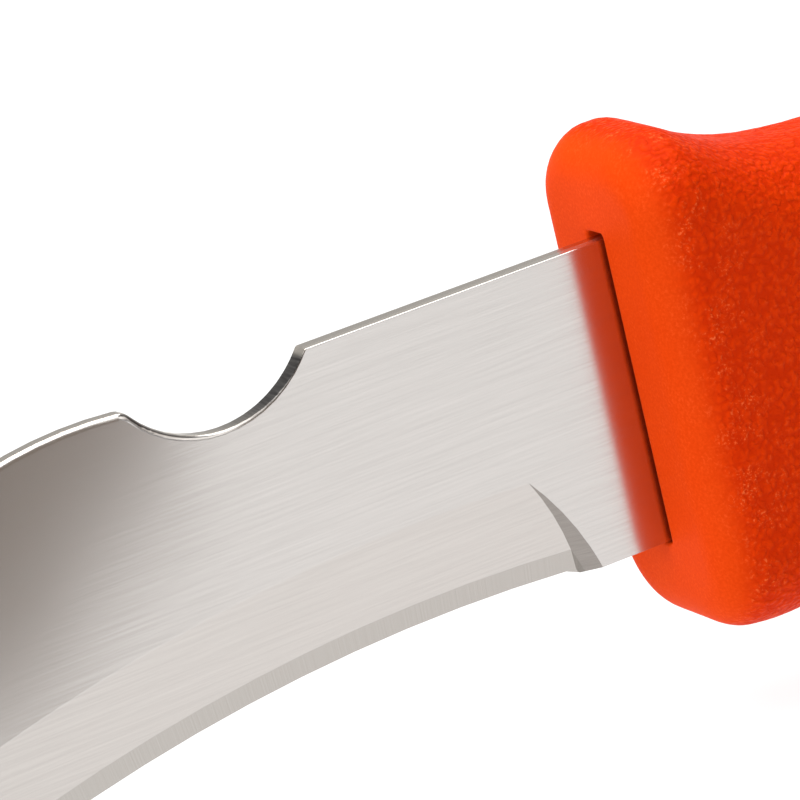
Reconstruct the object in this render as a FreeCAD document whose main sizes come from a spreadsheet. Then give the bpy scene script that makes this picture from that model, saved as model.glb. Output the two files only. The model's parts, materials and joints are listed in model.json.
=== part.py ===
import FreeCAD, Part
import math
import os
import Sketcher

# Fixed-blade rigging knife: a hooked steel blade in a moulded handle, with a swinging lanyard bail.
# Working directions: X runs along the knife, from the tip (-X) to the butt (+X); Z is up, towards the
# spine; Y is across, with the near side at -Y. Dimensions are taken from the handle's front face (x = 0),
# the mid-plane of the blade (y = 0) and the spine (z = 0). The last step moves every sub-part so that the
# frame's origin is at the bottom centre of the whole knife's box.

doc = FreeCAD.newDocument("rigging_knife")

# ---------------------------------------------------------------------------------------------------
# Driving dimensions
# ---------------------------------------------------------------------------------------------------

DIMENSIONS = [
    # blade outline
    ("stock", 1.8, "thickness of the blade's steel"),
    ("ricasso_depth", 26.0, "spine to the underside of the unground stretch"),
    ("ricasso_reach", 8.0, "handle to the end of the unground underside"),
    ("edge_reach", 9.2, "handle to the start of the cutting edge"),
    ("edge_apex_reach", 20.7, "handle to the highest point of the hollow edge"),
    ("edge_apex_depth", 25.05, "spine to the highest point of the hollow edge"),
    ("edge_radius", 148.0, "radius of the hollow edge"),
    ("blade_length", 89.8, "handle to the tip"),
    ("crest_reach", 47.0, "handle to the crest of the back in front of the notch"),
    ("crest_rise", 0.4, "height of that crest over the spine"),
    ("back_radius", 36.0, "radius of the back from the notch to the nose"),
    ("nose_angle", 65.0, "slope of the straight nose, degrees"),
    ("notch_reach", 27.1, "handle to the nearer corner of the round notch"),
    ("notch_width", 15.8, "width of the round notch along the spine"),
    ("notch_radius", 9.7, "radius of the round notch"),
    ("notch_near_round", 0.35, "rounding of the notch's corner nearer the handle"),
    ("notch_far_round", 1.4, "rounding of the notch's corner nearer the tip"),
    ("spine_round", 0.1, "edge rounding of the spine between handle and notch"),
    ("back_round", 0.5, "edge rounding of the back in front of the notch"),
    # grinds
    ("grind_width", 8.4, "width of the main grind above the edge"),
    ("bevel_width", 1.75, "width of the sharpened bevel"),
    ("bevel_half", 0.27, "half thickness at the top of the sharpened bevel"),
    ("edge_half", 0.04, "half thickness at the very edge"),
    ("plunge_top_reach", 11.2, "handle to the top end of the plunge"),
    ("plunge_top_depth", 17.2, "spine to the top end of the plunge"),
    ("plunge_base_reach", 6.3, "handle to the lower end of the plunge"),
    ("plunge_curve", 24.0, "radius of the plunge line in side view"),
    ("plunge_taper", 64.0, "lean of the plunge wall from square, degrees"),
    ("grind_reach", 75.0, "sweep of the grinding path, degrees"),
    ("cutter_clear", 4.0, "how far the cutting shapes run past the steel"),
    # tang
    ("shoulder", 12.0, "length of full-height blade inside the handle"),
    ("tang_axis", 14.0, "spine to the middle of the tang"),
    ("tang_half", 7.0, "half height of the tang at the shoulder"),
    ("tang_end_half", 5.5, "half height of the tang at its end"),
    ("tang_end", 111.0, "front face to the end of the tang"),
    ("tang_gap", 0.05, "clearance round the tang in its channel"),
    ("slot_gap", 0.4, "gap beside the blade in the handle's slot"),
    ("slot_top_gap", 0.5, "gap over the spine in the handle's slot"),
    ("slot_base_gap", 0.2, "gap under the blade in the handle's slot"),
    # handle ends
    ("front_round", 4.0, "rounding round the front face"),
    ("pin_reach", 105.0, "front face to the bail pin"),
    ("butt_radius", 12.5, "radius of the butt round the bail pin"),
    ("butt_half", 7.0, "half width of the butt"),
    ("butt_corner", 5.5, "edge rounding of the butt"),
    # rivets
    ("front_rivet", 38.0, "front face to the front rivet"),
    ("rear_rivet", 76.0, "front face to the rear rivet"),
    ("rivet_head", 4.5, "radius of a rivet's head"),
    ("rivet_head_depth", 1.6, "depth of a rivet's head at its rim"),
    ("rivet_dome", 0.3, "rise of a rivet's head over its rim"),
    ("rivet_tube", 2.5, "outer radius of a rivet's tube"),
    ("rivet_bore", 1.8, "radius of a rivet's pin and of the tube's bore"),
    ("rivet_lap", 5.0, "reach of tube and pin past the mid-plane"),
    ("rivet_gap", 0.05, "clearance round a rivet's tube"),
    ("front_rivet_rim", 10.35, "mid-plane to the front rivet's rims"),
    ("rear_rivet_rim", 9.45, "mid-plane to the rear rivet's rims"),
    # bail and its pin
    ("pin_radius", 2.0, "radius of the bail pin"),
    ("pin_gap", 0.05, "running clearance of the bail on its pin"),
    ("pin_head", 3.9, "radius of the pin's domed ends"),
    ("pin_head_rim", 0.5, "thickness of a domed end at its rim"),
    ("pin_head_rise", 1.6, "height of a domed end"),
    ("pin_peen", 0.4, "height of the pin's peened crown over its rove"),
    ("bush_radius", 3.0, "outer radius of the bush in the handle"),
    ("washer_radius", 4.0, "radius of the spacer washers"),
    ("washer_thickness", 0.8, "thickness of the spacer washers"),
    ("eye_gap", 0.2, "side play on each face of the bail's eyes"),
    ("eye_radius", 4.6, "radius of the bail's eyes"),
    ("eye_thickness", 2.3, "thickness of the bail's eyes"),
    ("eye_tail", 9.0, "pin to the end of the flattened part of a leg"),
    ("wire_radius", 1.5, "radius of the bail's rod"),
    ("leg_length", 13.0, "pin to the start of the bail's bow"),
    ("leg_start", 6.5, "pin to the start of the round rod inside the eye"),
]

# The handle's cross-section at stations along it: distance from the front face, top and bottom heights
# over the spine, half width, and radius of the four corners.
STATIONS = [
    ("front", 0.0, 8.7, -32.8, 9.9, 6.6),
    ("crest", 4.0, 8.9, -34.1, 10.2, 7.2),
    ("guard", 9.5, 5.8, -34.3, 10.1, 7.8),
    ("neck", 15.0, 3.8, -33.2, 9.7, 8.0),
    ("waist", 22.0, 3.0, -30.4, 9.4, 8.0),
    ("finger", 32.0, 2.9, -28.2, 9.8, 8.2),
    ("grip", 46.0, 3.2, -28.6, 10.7, 8.8),
    ("palm", 62.0, 2.4, -29.2, 10.7, 8.8),
    ("taper", 78.0, 0.2, -27.8, 9.0, 7.6),
    ("heel", 90.0, -1.2, -26.8, 7.3, 6.0),
    ("tail", 99.0, -1.5, -26.5, 7.0, 5.5),
]

sheet = doc.addObject("Spreadsheet::Sheet", "dims")
row = 0


def add_dimension(alias, value, meaning):
    """One line of the sheet: what it is, its value in millimetres or degrees, and its alias."""
    global row
    row += 1
    sheet.set("A%d" % row, meaning)
    sheet.set("B%d" % row, str(value))
    sheet.setAlias("B%d" % row, alias)


for alias, value, meaning in DIMENSIONS:
    add_dimension(alias, value, meaning)
for station, place, top, bottom, half_width, corner in STATIONS:
    add_dimension(station + "_place", place, "front face to the %s section" % station)
    add_dimension(station + "_top", top, "top of the %s section" % station)
    add_dimension(station + "_bottom", bottom, "bottom of the %s section" % station)
    add_dimension(station + "_half", half_width, "half width of the %s section" % station)
    add_dimension(station + "_corner", corner, "corner radius of the %s section" % station)
add_dimension("frame_x", 0.0, "shift of every sub-part along X into the final frame")
add_dimension("frame_z", 0.0, "shift of every sub-part along Z into the final frame")
doc.recompute()


def size(alias):
    """The current value of one driving dimension."""
    return float(sheet.get(alias))


# ---------------------------------------------------------------------------------------------------
# Sketching
# ---------------------------------------------------------------------------------------------------

LEFT = 1
RIGHT = -1


def new_body(name):
    return doc.addObject("PartDesign::Body", name)


def new_sketch(body, name, plane, offset=("0", "0", "0")):
    """A sketch on one of the body's own origin planes, moved by offset in the plane's own axes."""
    sketch = body.newObject("Sketcher::SketchObject", name)
    support = [item for item in body.Origin.OriginFeatures if item.Role == plane][0]
    sketch.AttachmentSupport = [(support, "")]
    sketch.MapMode = "FlatFace"
    for axis, expression in zip("xyz", offset):
        sketch.setExpression("AttachmentOffset.Base." + axis, expression)
    return sketch


def arc_centre(start, end, radius, side):
    """Centre of the short arc from start to end, on the LEFT or the RIGHT of the way along it."""
    chord = end - start
    across = FreeCAD.Vector(-chord.y, chord.x, 0).normalize()
    height = math.sqrt(radius ** 2 - chord.Length ** 2 / 4)
    return (start + end) * 0.5 + across * (side * height)


def draw_outline(sketch, corners):
    """A closed outline through corners. A corner is (x, y) or (x, y, radius, side), all expressions but
    side; with a radius, the edge that leaves the corner is an arc with its centre on that side."""
    points = [FreeCAD.Vector(float(sketch.evalExpression(corner[0])),
                             float(sketch.evalExpression(corner[1])), 0) for corner in corners]
    starts = []
    ends = []
    first = sketch.GeometryCount
    for index, corner in enumerate(corners):
        start = points[index]
        end = points[(index + 1) % len(points)]
        if len(corner) == 2:
            sketch.addGeometry(Part.LineSegment(start, end))
            starts.append(1)
            ends.append(2)
            continue
        radius = float(sketch.evalExpression(corner[2]))
        centre = arc_centre(start, end, radius, corner[3])
        circle = Part.Circle(centre, FreeCAD.Vector(0, 0, 1), radius)
        tail, head = (start, end) if corner[3] == LEFT else (end, start)
        angles = [math.atan2(point.y - centre.y, point.x - centre.x) for point in (tail, head)]
        sketch.addGeometry(Part.ArcOfCircle(circle, angles[0], angles[1]))
        starts.append(1 if corner[3] == LEFT else 2)
        ends.append(2 if corner[3] == LEFT else 1)
    for index, corner in enumerate(corners):
        edge = first + index
        following = (index + 1) % len(corners)
        sketch.addConstraint(Sketcher.Constraint(
            "Coincident", edge, ends[index], first + following, starts[following]))
        for kind, expression, value in (("DistanceX", corner[0], points[index].x),
                                        ("DistanceY", corner[1], points[index].y)):
            number = sketch.addConstraint(Sketcher.Constraint(kind, edge, starts[index], value))
            sketch.setExpression("Constraints[%d]" % number, expression)
        if len(corner) == 4:
            radius = float(sketch.evalExpression(corner[2]))
            number = sketch.addConstraint(Sketcher.Constraint("Radius", edge, radius))
            sketch.setExpression("Constraints[%d]" % number, corner[2])
    return sketch


def draw_circle(sketch, x, y, radius):
    """A circle whose centre and radius are expressions."""
    values = [float(sketch.evalExpression(expression)) for expression in (x, y, radius)]
    centre = FreeCAD.Vector(values[0], values[1], 0)
    circle = sketch.addGeometry(Part.Circle(centre, FreeCAD.Vector(0, 0, 1), values[2]))
    for kind, expression, value in (("DistanceX", x, values[0]), ("DistanceY", y, values[1])):
        number = sketch.addConstraint(Sketcher.Constraint(kind, circle, 3, value))
        sketch.setExpression("Constraints[%d]" % number, expression)
    number = sketch.addConstraint(Sketcher.Constraint("Radius", circle, values[2]))
    sketch.setExpression("Constraints[%d]" % number, radius)
    return sketch


def rounded_box(half_width, bottom, top, corner):
    """Corners of a rounded rectangle, run clockwise from the lower end of its left side."""
    left, right = "-(%s)" % half_width, half_width
    return [
        (left, "%s + %s" % (bottom, corner)),
        (left, "%s - %s" % (top, corner), corner, RIGHT),
        ("%s + %s" % (left, corner), top),
        ("%s - %s" % (right, corner), top, corner, RIGHT),
        (right, "%s - %s" % (top, corner)),
        (right, "%s + %s" % (bottom, corner), corner, RIGHT),
        ("%s - %s" % (right, corner), bottom),
        ("%s + %s" % (left, corner), bottom, corner, RIGHT),
    ]


# ---------------------------------------------------------------------------------------------------
# Features
# ---------------------------------------------------------------------------------------------------

def extrude(body, kind, name, sketch, length, symmetric=True, taper=None, back=False):
    """A Pad or a Pocket of a sketch, either half each way or all one way."""
    feature = body.newObject("PartDesign::" + kind, name)
    feature.Profile = sketch
    if symmetric:
        feature.SideType = "Symmetric"
    feature.Reversed = back
    feature.setExpression("Length", length)
    if taper:
        feature.setExpression("TaperAngle", taper)
    return feature


def turn(body, kind, name, sketch, axis, angle="360", midplane=False):
    """A Revolution or a Groove of a sketch about one of its own axes."""
    feature = body.newObject("PartDesign::" + kind, name)
    feature.Profile = sketch
    feature.ReferenceAxis = (sketch, [axis])
    feature.setExpression("Angle", angle)
    feature.Midplane = midplane
    return feature


def fillet(body, name, base, wanted, radius):
    """A fillet on each edge of base that wanted(edge) picks."""
    doc.recompute()
    edges = ["Edge%d" % (index + 1) for index, edge in enumerate(base.Shape.Edges) if wanted(edge)]
    feature = body.newObject("PartDesign::Fillet", name)
    feature.Base = (base, edges)
    feature.setExpression("Radius", radius)
    return feature


def stands_at(x, z):
    """Picks the edges square to the blade's faces at one corner of its outline."""
    def wanted(edge):
        box = edge.BoundBox
        return abs(box.Center.x - x) < 0.01 and abs(box.Center.z - z) < 0.01 and box.YLength > 1
    return wanted


# ---------------------------------------------------------------------------------------------------
# Blade
# ---------------------------------------------------------------------------------------------------

def height_on_edge(reach):
    """Height of the hollow edge's arc at a distance in front of the handle, as an expression."""
    return ("-dims.edge_apex_depth - dims.edge_radius"
            " + sqrt(dims.edge_radius ^ 2 - (%s - dims.edge_apex_reach) ^ 2)" % reach)


NOTCH_END = "dims.notch_reach + dims.notch_width"
NOTCH_END_HEIGHT = ("dims.crest_rise - dims.back_radius"
                    " + sqrt(dims.back_radius ^ 2 - (%s - dims.crest_reach) ^ 2)" % NOTCH_END)


def make_blank():
    """The stamped plate: hooked blade, round notch in the back, ricasso and tapered tang."""
    body = new_body("blade_blank")
    sketch = new_sketch(body, "blade_outline", "XZ_Plane")
    draw_outline(sketch, [
        ("dims.shoulder", "0"),
        ("-dims.notch_reach", "0", "dims.notch_radius", RIGHT),
        ("-(%s)" % NOTCH_END, NOTCH_END_HEIGHT, "dims.back_radius", LEFT),
        ("-dims.crest_reach - dims.back_radius * sin(dims.nose_angle)",
         "dims.crest_rise - dims.back_radius * (1 - cos(dims.nose_angle))"),
        ("-dims.blade_length", height_on_edge("dims.blade_length"), "dims.edge_radius", RIGHT),
        ("-dims.edge_reach", height_on_edge("dims.edge_reach")),
        ("-dims.ricasso_reach", "-dims.ricasso_depth"),
        ("dims.shoulder", "-dims.ricasso_depth"),
        ("dims.shoulder", "-dims.tang_axis - dims.tang_half"),
        ("dims.tang_end", "-dims.tang_axis - dims.tang_end_half"),
        ("dims.tang_end", "-dims.tang_axis + dims.tang_end_half"),
        ("dims.shoulder", "-dims.tang_axis + dims.tang_half"),
    ])
    plate = extrude(body, "Pad", "plate", sketch, "dims.stock")
    notch_end = size("notch_reach") + size("notch_width")
    end_height = float(sketch.evalExpression(NOTCH_END_HEIGHT))
    near_corner = fillet(body, "notch_near_corner", plate,
                         stands_at(-size("notch_reach"), 0.0), "dims.notch_near_round")
    fillet(body, "notch_far_corner", near_corner,
           stands_at(-notch_end, end_height), "dims.notch_far_round")

    holes = new_sketch(body, "tang_holes", "XZ_Plane")
    for rivet in ("front_rivet", "rear_rivet"):
        draw_circle(holes, "dims." + rivet, "-dims.tang_axis", "dims.rivet_tube + 2 * dims.rivet_gap")
    draw_circle(holes, "dims.pin_reach", "-dims.tang_axis", "dims.bush_radius + dims.tang_gap")
    extrude(body, "Pocket", "tang_drillings", holes, "4 * dims.stock")
    return body


def round_back(blank):
    """Rounds both long edges of the back: slightly behind the notch, fully in front of it, and with a
    radius that grows along the notch."""
    doc.recompute()
    rounded = doc.addObject("Part::Fillet", "blade_rounded")
    rounded.Base = blank
    notch_start = -size("notch_reach")
    notch_end = notch_start - size("notch_width")
    wanted = []
    for index, edge in enumerate(blank.Shape.Edges):
        box = edge.BoundBox
        on_face = abs(abs(box.Center.y) - size("stock") / 2) < 0.01 and box.YLength < 0.01
        if not on_face or box.XMax > size("shoulder") + 0.01:
            continue
        middle = edge.valueAt((edge.FirstParameter + edge.LastParameter) / 2)
        on_top = middle.z > -size("notch_width") / 2
        on_nose = box.XMin < -size("blade_length") + 1 and middle.x < -size("crest_reach") \
            and middle.z > -size("ricasso_depth") - size("notch_width") / 2
        if not on_top and not on_nose:
            continue
        radii = []
        for parameter in (edge.FirstParameter, edge.LastParameter):
            along = (edge.valueAt(parameter).x - notch_start) / (notch_end - notch_start)
            share = min(1.0, max(0.0, along))
            radii.append(size("spine_round") + share * (size("back_round") - size("spine_round")))
        wanted.append((index + 1, radii[0], radii[1]))
    rounded.Edges = wanted
    return rounded


def make_grind(side, sign):
    """What the grinding wheel takes off one side: the main grind and the sharpened bevel, swept along the
    arc of the edge, and ending in the leaning wall of the plunge."""
    ring = new_body("grind_path_" + side)
    section = new_sketch(ring, "grind_section_" + side, "YZ_Plane",
                         ("0", "-dims.edge_apex_depth - dims.edge_radius", "-dims.edge_apex_reach"))
    outer = "%s(dims.stock / 2 + dims.cutter_clear)" % sign
    draw_outline(section, [
        ("%s(dims.stock / 2)" % sign, "dims.edge_radius + dims.grind_width"),
        ("%s(dims.bevel_half)" % sign, "dims.edge_radius + dims.bevel_width"),
        ("%s(dims.edge_half)" % sign, "dims.edge_radius"),
        ("%s(dims.edge_half)" % sign, "dims.edge_radius - dims.cutter_clear"),
        (outer, "dims.edge_radius - dims.cutter_clear"),
        (outer, "dims.edge_radius + dims.grind_width"),
    ])
    turn(ring, "Revolution", "grind_sweep_" + side, section, "H_Axis", "dims.grind_reach", midplane=True)

    reach = new_body("grind_reach_" + side)
    plan = new_sketch(reach, "plunge_line_" + side, "XZ_Plane")
    lean = "dims.stock / 2 * tan(dims.plunge_taper)"
    base = "-dims.plunge_base_reach - %s * 0.95" % lean
    draw_outline(plan, [
        ("-dims.plunge_top_reach - %s * 0.85" % lean, "-dims.plunge_top_depth - %s * 0.3" % lean,
         "dims.plunge_curve", RIGHT),
        (base, "-dims.ricasso_depth - %s * 0.3" % lean),
        (base, "-dims.ricasso_depth - dims.edge_radius / 4"),
        ("-dims.blade_length - dims.edge_radius / 8", "-dims.ricasso_depth - dims.edge_radius / 4"),
        ("-dims.blade_length - dims.edge_radius / 8", "-dims.plunge_top_depth - %s * 0.3" % lean),
    ])
    extrude(reach, "Pad", "plunge_" + side, plan, "2 * dims.stock", taper="dims.plunge_taper")

    grind = doc.addObject("Part::Common", "grind_" + side)
    grind.Base = ring
    grind.Tool = reach
    return grind


def make_blade():
    blank = make_blank()
    near_done = doc.addObject("Part::Cut", "blade_near_ground")
    near_done.Base = round_back(blank)
    near_done.Tool = make_grind("near", "-")
    blade = doc.addObject("Part::Cut", "blade_ground")
    blade.Base = near_done
    blade.Tool = make_grind("far", "")
    return blade


# ---------------------------------------------------------------------------------------------------
# Handle
# ---------------------------------------------------------------------------------------------------

def drill_stepped(body, name, place, shank, head, floor):
    """A cross drilling on the tang's axis, wider outside the two floors on either side."""
    seat = new_sketch(body, name + "_seat_section", "XY_Plane", (place, "0", "-dims.tang_axis"))
    outside = floor + " + dims.cutter_clear"
    draw_outline(seat, [
        ("0", "-(%s)" % outside),
        (head, "-(%s)" % outside),
        (head, "-(%s)" % floor),
        (shank, "-(%s)" % floor),
        (shank, floor),
        (head, floor),
        (head, outside),
        ("0", outside),
    ])
    turn(body, "Groove", name + "_seat", seat, "V_Axis")


def make_handle():
    """One moulding: lofted grip with a flared front, rounded butt, slot, tang channel and drillings."""
    body = new_body("handle_moulding")
    sections = []
    for station in STATIONS:
        cell = "dims." + station[0]
        section = new_sketch(body, station[0] + "_section", "YZ_Plane", ("0", "0", cell + "_place"))
        draw_outline(section, rounded_box(cell + "_half", cell + "_bottom", cell + "_top",
                                          cell + "_corner"))
        sections.append(section)
    end = new_sketch(body, "pin_section", "YZ_Plane", ("0", "-dims.tang_axis", "dims.pin_reach"))
    draw_outline(end, rounded_box("dims.butt_half", "-dims.butt_radius", "dims.butt_radius",
                                  "dims.butt_corner"))
    sections.append(end)
    grip = body.newObject("PartDesign::AdditiveLoft", "grip")
    grip.Profile = sections[0]
    grip.Sections = sections[1:]

    half = new_sketch(body, "butt_section", "YZ_Plane", ("0", "-dims.tang_axis", "dims.pin_reach"))
    draw_outline(half, [
        ("-dims.butt_half", "0"),
        ("-dims.butt_half", "dims.butt_radius - dims.butt_corner", "dims.butt_corner", RIGHT),
        ("-dims.butt_half + dims.butt_corner", "dims.butt_radius"),
        ("dims.butt_half - dims.butt_corner", "dims.butt_radius", "dims.butt_corner", RIGHT),
        ("dims.butt_half", "dims.butt_radius - dims.butt_corner"),
        ("dims.butt_half", "0"),
    ])
    butt = turn(body, "Revolution", "butt", half, "H_Axis", "180")

    def on_front(edge):
        return edge.BoundBox.XMax < 0.001
    fillet(body, "front_rounding", butt, on_front, "dims.front_round")

    slot = new_sketch(body, "blade_slot_outline", "XZ_Plane")
    draw_outline(slot, [
        ("-dims.cutter_clear", "dims.slot_top_gap"),
        ("dims.shoulder + dims.slot_gap", "dims.slot_top_gap"),
        ("dims.shoulder + dims.slot_gap", "-dims.ricasso_depth - dims.slot_base_gap"),
        ("-dims.cutter_clear", "-dims.ricasso_depth - dims.slot_base_gap"),
    ])
    extrude(body, "Pocket", "blade_slot", slot, "dims.stock + 2 * dims.slot_gap")
    channel = new_sketch(body, "tang_channel_outline", "XZ_Plane")
    draw_outline(channel, [
        ("dims.shoulder", "-dims.tang_axis - dims.tang_half - dims.tang_gap"),
        ("dims.shoulder", "-dims.tang_axis + dims.tang_half + dims.tang_gap"),
        ("dims.tang_end + dims.slot_gap", "-dims.tang_axis + dims.tang_end_half + dims.tang_gap"),
        ("dims.tang_end + dims.slot_gap", "-dims.tang_axis - dims.tang_end_half - dims.tang_gap"),
    ])
    extrude(body, "Pocket", "tang_channel", channel, "dims.stock + 2 * dims.tang_gap")

    for rivet in ("front_rivet", "rear_rivet"):
        drill_stepped(body, rivet, "dims." + rivet, "dims.rivet_tube + dims.rivet_gap",
                      "dims.rivet_head + dims.rivet_gap", "dims.%s_rim - dims.rivet_head_depth" % rivet)
    drill_stepped(body, "bush", "dims.pin_reach", "dims.bush_radius",
                  "dims.washer_radius + dims.eye_gap", "dims.butt_half")
    return body


# ---------------------------------------------------------------------------------------------------
# Rivets
# ---------------------------------------------------------------------------------------------------

def dome_corner(radius, height, rise, side, rim=None):
    """A corner from which an arc runs between a dome's rim and its crown; at the crown, rim is stated."""
    dome = "(({0}) ^ 2 + ({1}) ^ 2) / (2 * ({1}))".format(rim or radius, rise)
    return (radius, height, dome, side)


def make_rivet_barrel(rivet):
    """Far half of a compression rivet: domed head and a tube, bored from the open end."""
    body = new_body(rivet + "_barrel_turning")
    sketch = new_sketch(body, rivet + "_barrel_section", "XY_Plane",
                        ("dims." + rivet, "0", "-dims.tang_axis"))
    rim = "dims.%s_rim" % rivet
    draw_outline(sketch, [
        ("0", "dims.rivet_lap + dims.rivet_gap"),
        ("dims.rivet_bore", "dims.rivet_lap + dims.rivet_gap"),
        ("dims.rivet_bore", "-dims.rivet_lap"),
        ("dims.rivet_tube", "-dims.rivet_lap"),
        ("dims.rivet_tube", rim + " - dims.rivet_head_depth"),
        ("dims.rivet_head", rim + " - dims.rivet_head_depth"),
        dome_corner("dims.rivet_head", rim, "dims.rivet_dome", LEFT),
        ("0", rim + " + dims.rivet_dome"),
    ])
    turn(body, "Revolution", rivet + "_barrel_turned", sketch, "V_Axis")
    return body


def make_rivet_post(rivet):
    """Near half of a compression rivet: domed head and the solid pin pressed into the barrel."""
    body = new_body(rivet + "_post_turning")
    sketch = new_sketch(body, rivet + "_post_section", "XY_Plane",
                        ("dims." + rivet, "0", "-dims.tang_axis"))
    rim = "dims.%s_rim" % rivet
    draw_outline(sketch, [
        ("0", "dims.rivet_lap"),
        ("dims.rivet_bore", "dims.rivet_lap"),
        ("dims.rivet_bore", "-%s + dims.rivet_head_depth" % rim),
        ("dims.rivet_head", "-%s + dims.rivet_head_depth" % rim),
        dome_corner("dims.rivet_head", "-" + rim, "dims.rivet_dome", RIGHT),
        ("0", "-%s - dims.rivet_dome" % rim),
    ])
    turn(body, "Revolution", rivet + "_post_turned", sketch, "V_Axis")
    return body


# ---------------------------------------------------------------------------------------------------
# Bail and its pin
# ---------------------------------------------------------------------------------------------------

PIN_PLACE = ("dims.pin_reach", "0", "-dims.tang_axis")
EYE_INNER = "dims.butt_half + dims.washer_thickness + dims.eye_gap"
HEAD_INNER = EYE_INNER + " + dims.eye_thickness + dims.eye_gap"
BOW_RADIUS = "(%s + dims.eye_thickness / 2)" % EYE_INNER


def make_ring(name, inner, outer, low, high):
    """A plain turned ring on the pin's axis between two distances from the mid-plane."""
    body = new_body(name + "_turning")
    sketch = new_sketch(body, name + "_section", "XY_Plane", PIN_PLACE)
    draw_outline(sketch, [(inner, low), (outer, low), (outer, high), (inner, high)])
    turn(body, "Revolution", name + "_turned", sketch, "V_Axis")
    return body


def make_bail_pin():
    """Shank with a domed near head; its far end is peened over the rove into a low crown."""
    body = new_body("bail_pin_turning")
    sketch = new_sketch(body, "bail_pin_section", "XY_Plane", PIN_PLACE)
    draw_outline(sketch, [
        dome_corner("0", HEAD_INNER + " + dims.pin_head_rise", "dims.pin_peen", RIGHT, "dims.pin_radius"),
        ("dims.pin_radius", HEAD_INNER + " + dims.pin_head_rise - dims.pin_peen"),
        ("dims.pin_radius", "-(%s)" % HEAD_INNER),
        ("dims.pin_head", "-(%s)" % HEAD_INNER),
        dome_corner("dims.pin_head", "-(%s + dims.pin_head_rim)" % HEAD_INNER,
                    "dims.pin_head_rise - dims.pin_head_rim", RIGHT),
        ("0", "-(%s + dims.pin_head_rise)" % HEAD_INNER),
    ])
    turn(body, "Revolution", "bail_pin_turned", sketch, "V_Axis")
    return body


def make_rove():
    """Domed washer on the pin's far end."""
    body = new_body("bail_pin_rove_turning")
    sketch = new_sketch(body, "bail_pin_rove_section", "XY_Plane", PIN_PLACE)
    draw_outline(sketch, [
        ("dims.pin_radius", HEAD_INNER),
        ("dims.pin_head", HEAD_INNER),
        ("dims.pin_head", HEAD_INNER + " + dims.pin_head_rim",
         "2 * (dims.pin_head - dims.pin_radius)", LEFT),
        ("dims.pin_radius", HEAD_INNER + " + dims.pin_head_rise - dims.pin_peen"),
    ])
    turn(body, "Revolution", "bail_pin_rove_turned", sketch, "V_Axis")
    return body


def make_bail():
    """Bent rod with two flattened eyes, hanging straight down from the pin."""
    body = new_body("bail_forging")
    route = new_sketch(body, "bail_route", "YZ_Plane", ("0", "-dims.tang_axis", "dims.pin_reach"))
    radius = float(route.evalExpression(BOW_RADIUS))
    start = -size("leg_start")
    bend = -size("leg_length")
    near_top = FreeCAD.Vector(-radius, start, 0)
    near_low = FreeCAD.Vector(-radius, bend, 0)
    far_low = FreeCAD.Vector(radius, bend, 0)
    far_top = FreeCAD.Vector(radius, start, 0)
    route.addGeometry(Part.LineSegment(near_top, near_low))
    bow = Part.Circle(FreeCAD.Vector(0, bend, 0), FreeCAD.Vector(0, 0, 1), radius)
    route.addGeometry(Part.ArcOfCircle(bow, math.pi, 2 * math.pi))
    route.addGeometry(Part.LineSegment(far_low, far_top))
    route.addConstraint(Sketcher.Constraint("Coincident", 0, 2, 1, 1))
    route.addConstraint(Sketcher.Constraint("Coincident", 1, 2, 2, 1))
    places = (
        (0, 1, "DistanceX", "-" + BOW_RADIUS),
        (0, 1, "DistanceY", "-dims.leg_start"),
        (1, 3, "DistanceX", "0"),
        (1, 3, "DistanceY", "-dims.leg_length"),
        (0, 2, "DistanceX", "-" + BOW_RADIUS),
        (0, 2, "DistanceY", "-dims.leg_length"),
        (2, 1, "DistanceY", "-dims.leg_length"),
        (2, 2, "DistanceX", BOW_RADIUS),
        (2, 2, "DistanceY", "-dims.leg_start"),
    )
    for edge, end, kind, expression in places:
        value = float(route.evalExpression(expression))
        number = route.addConstraint(Sketcher.Constraint(kind, edge, end, value))
        route.setExpression("Constraints[%d]" % number, expression)
    section = new_sketch(body, "bail_rod_section", "XY_Plane",
                         ("dims.pin_reach", "-" + BOW_RADIUS, "-dims.tang_axis - dims.leg_start"))
    draw_circle(section, "0", "0", "dims.wire_radius")
    rod = body.newObject("PartDesign::AdditivePipe", "bail_rod")
    rod.Profile = section
    rod.Spine = (route, ["Edge1", "Edge2", "Edge3"])

    for side, turn_sign, back in (("near", "", False), ("far", "-", True)):
        eye = new_sketch(body, "bail_%s_eye_outline" % side, "XZ_Plane",
                         ("dims.pin_reach", "-dims.tang_axis", turn_sign + "(%s)" % EYE_INNER))
        shoulder_x = "dims.eye_radius * 0.94"
        shoulder_y = "-dims.eye_radius * sqrt(1 - 0.94 ^ 2)"
        draw_outline(eye, [
            ("0", "dims.eye_radius", "dims.eye_radius", LEFT),
            ("-" + shoulder_x, shoulder_y),
            ("-dims.wire_radius", "-dims.eye_tail"),
            ("dims.wire_radius", "-dims.eye_tail"),
            (shoulder_x, shoulder_y, "dims.eye_radius", LEFT),
        ])
        extrude(body, "Pad", "bail_%s_eye" % side, eye, "dims.eye_thickness", symmetric=False, back=back)
    hole = new_sketch(body, "bail_hole_outline", "XZ_Plane")
    draw_circle(hole, "dims.pin_reach", "-dims.tang_axis", "dims.pin_radius + dims.pin_gap")
    extrude(body, "Pocket", "bail_hole", hole, "8 * dims.butt_half")
    return body


# ---------------------------------------------------------------------------------------------------
# Assembly, frame, checks and files
# ---------------------------------------------------------------------------------------------------

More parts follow.
